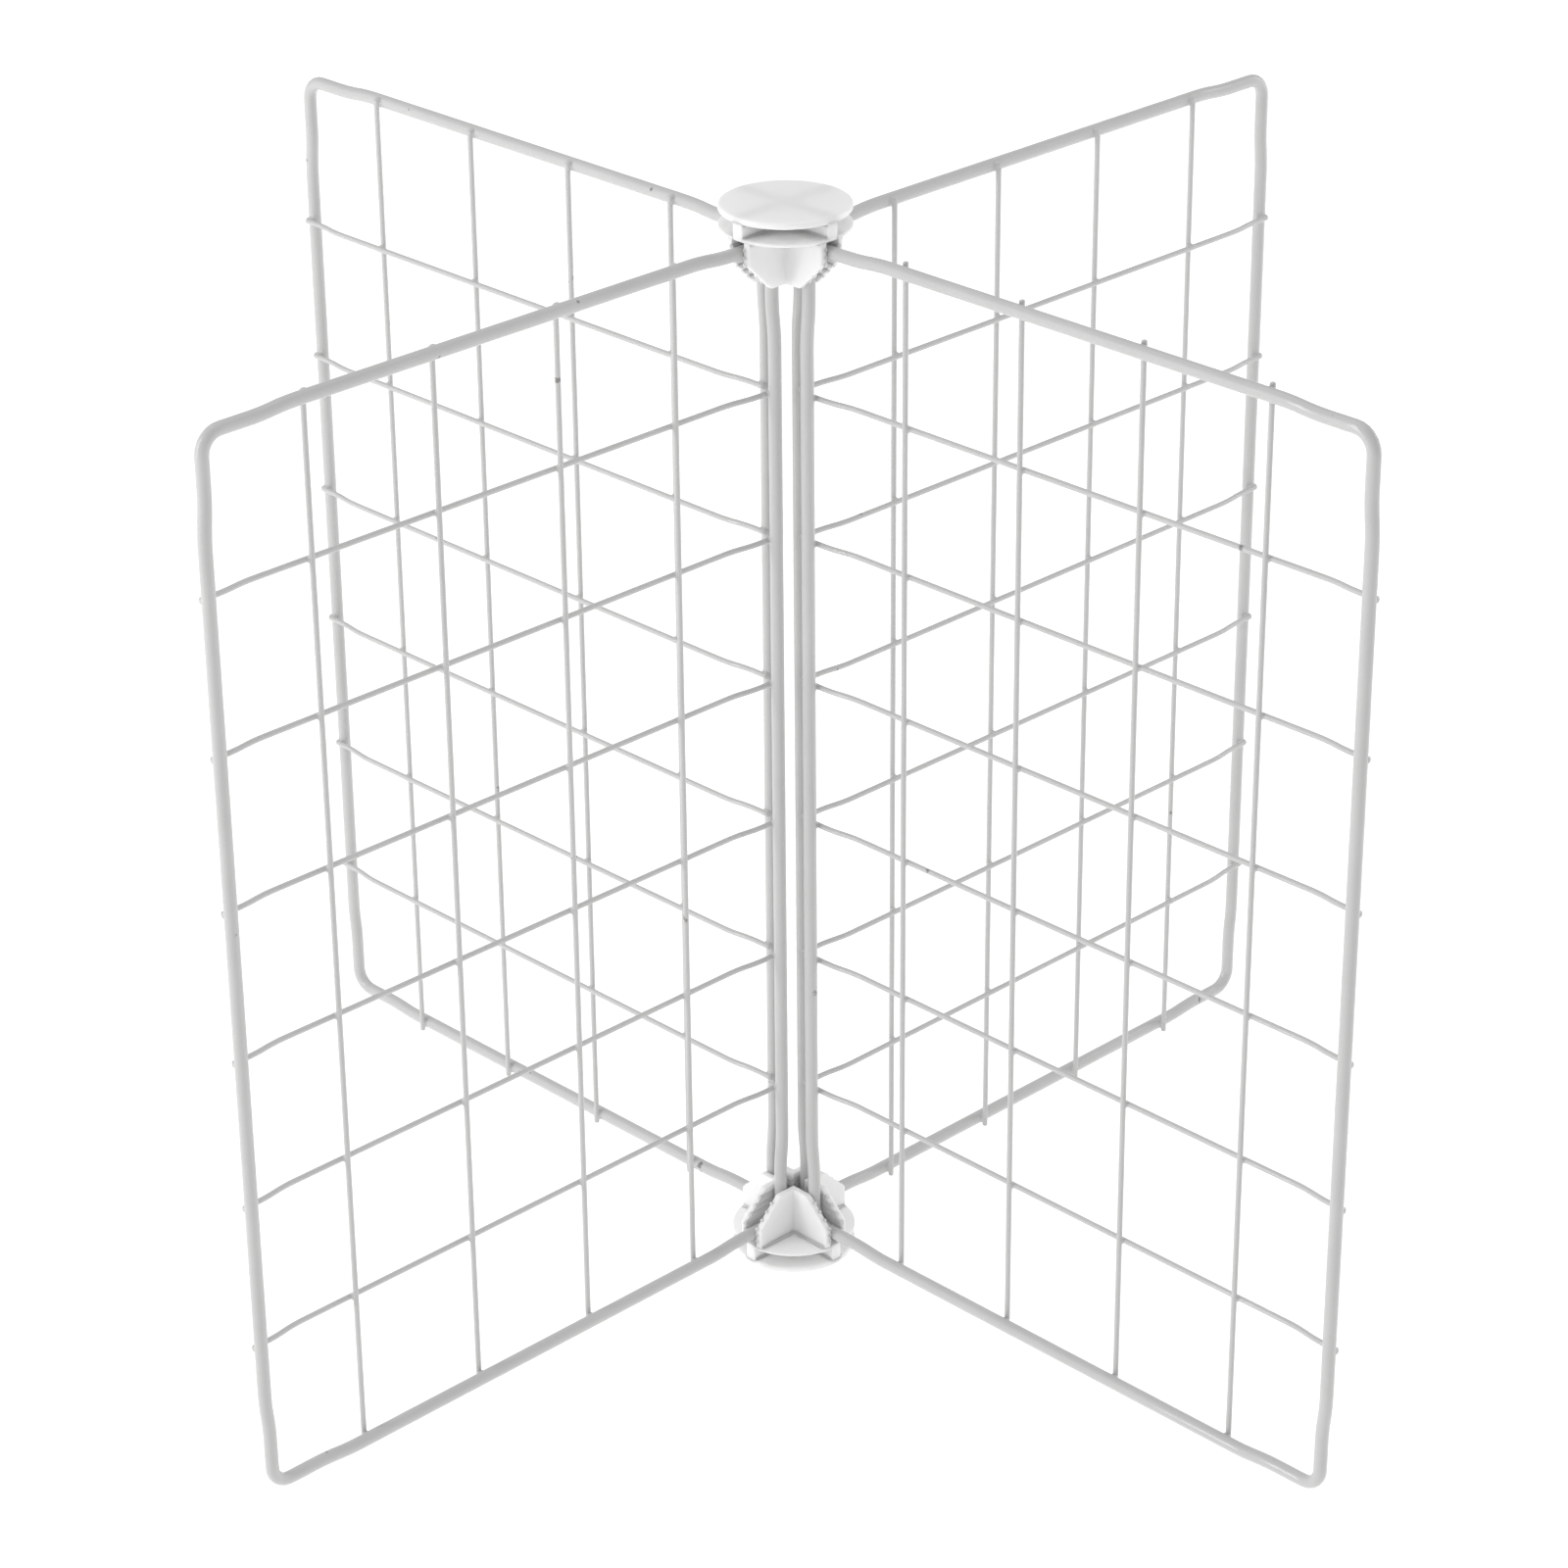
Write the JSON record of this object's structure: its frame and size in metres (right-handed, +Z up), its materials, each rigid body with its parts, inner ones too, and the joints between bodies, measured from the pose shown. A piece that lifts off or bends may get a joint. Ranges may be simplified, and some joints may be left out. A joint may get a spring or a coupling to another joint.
{
  "type": "display rack",
  "caption": "Countertop display rack: welded wire grid panels stand in a cross, clipped at top and bottom into round snap connectors.",
  "frame": {"origin": "centre of the lower connector's resting face", "axes": "+Z up along the rack's axis; the panels stand along +X, -X, +Y and -Y"},
  "size_m": [0.5252, 0.5164, 0.4192],
  "materials": {
    "coated_wire": "white powder coat, semi-gloss",
    "white_plastic": "white moulded ABS, satin"
  },
  "bodies": {
    "base": {"bottom_connector": "white_plastic"},
    "front_panel": {"front_frame": "coated_wire", "front_upright_wire_1": "coated_wire", "front_upright_wire_2": "coated_wire", "front_upright_wire_3": "coated_wire", "front_upright_wire_4": "coated_wire", "front_cross_wire_1": "coated_wire", "front_cross_wire_2": "coated_wire", "front_cross_wire_3": "coated_wire", "front_cross_wire_4": "coated_wire", "front_cross_wire_5": "coated_wire", "front_cross_wire_6": "coated_wire"},
    "right_panel": {"right_frame": "coated_wire", "right_upright_wire_1": "coated_wire", "right_upright_wire_2": "coated_wire", "right_upright_wire_3": "coated_wire", "right_upright_wire_4": "coated_wire", "right_cross_wire_1": "coated_wire", "right_cross_wire_2": "coated_wire", "right_cross_wire_3": "coated_wire", "right_cross_wire_4": "coated_wire", "right_cross_wire_5": "coated_wire", "right_cross_wire_6": "coated_wire"},
    "back_panel": {"back_frame": "coated_wire", "back_upright_wire_1": "coated_wire", "back_upright_wire_2": "coated_wire", "back_upright_wire_3": "coated_wire", "back_upright_wire_4": "coated_wire", "back_cross_wire_1": "coated_wire", "back_cross_wire_2": "coated_wire", "back_cross_wire_3": "coated_wire", "back_cross_wire_4": "coated_wire", "back_cross_wire_5": "coated_wire", "back_cross_wire_6": "coated_wire"},
    "left_panel": {"left_frame": "coated_wire", "left_upright_wire_1": "coated_wire", "left_upright_wire_2": "coated_wire", "left_upright_wire_3": "coated_wire", "left_upright_wire_4": "coated_wire", "left_cross_wire_1": "coated_wire", "left_cross_wire_2": "coated_wire", "left_cross_wire_3": "coated_wire", "left_cross_wire_4": "coated_wire", "left_cross_wire_5": "coated_wire", "left_cross_wire_6": "coated_wire"},
    "top": {"top_connector": "white_plastic"}
  },
  "joints": [
    {"name": "front_panel_pull", "type": "slide", "parent": "base", "child": "front_panel", "axis": [0, -1, 0], "range_m": [0, 0.02]},
    {"name": "right_panel_pull", "type": "slide", "parent": "base", "child": "right_panel", "axis": [1, 0, 0], "range_m": [0, 0.02]},
    {"name": "back_panel_pull", "type": "slide", "parent": "base", "child": "back_panel", "axis": [0, 1, 0], "range_m": [0, 0.02]},
    {"name": "left_panel_pull", "type": "slide", "parent": "base", "child": "left_panel", "axis": [-1, 0, 0], "range_m": [0, 0.02]},
    {"name": "top_connector_lift", "type": "slide", "parent": "base", "child": "top", "axis": [0, 0, 1], "range_m": [0, 0.02]}
  ]
}
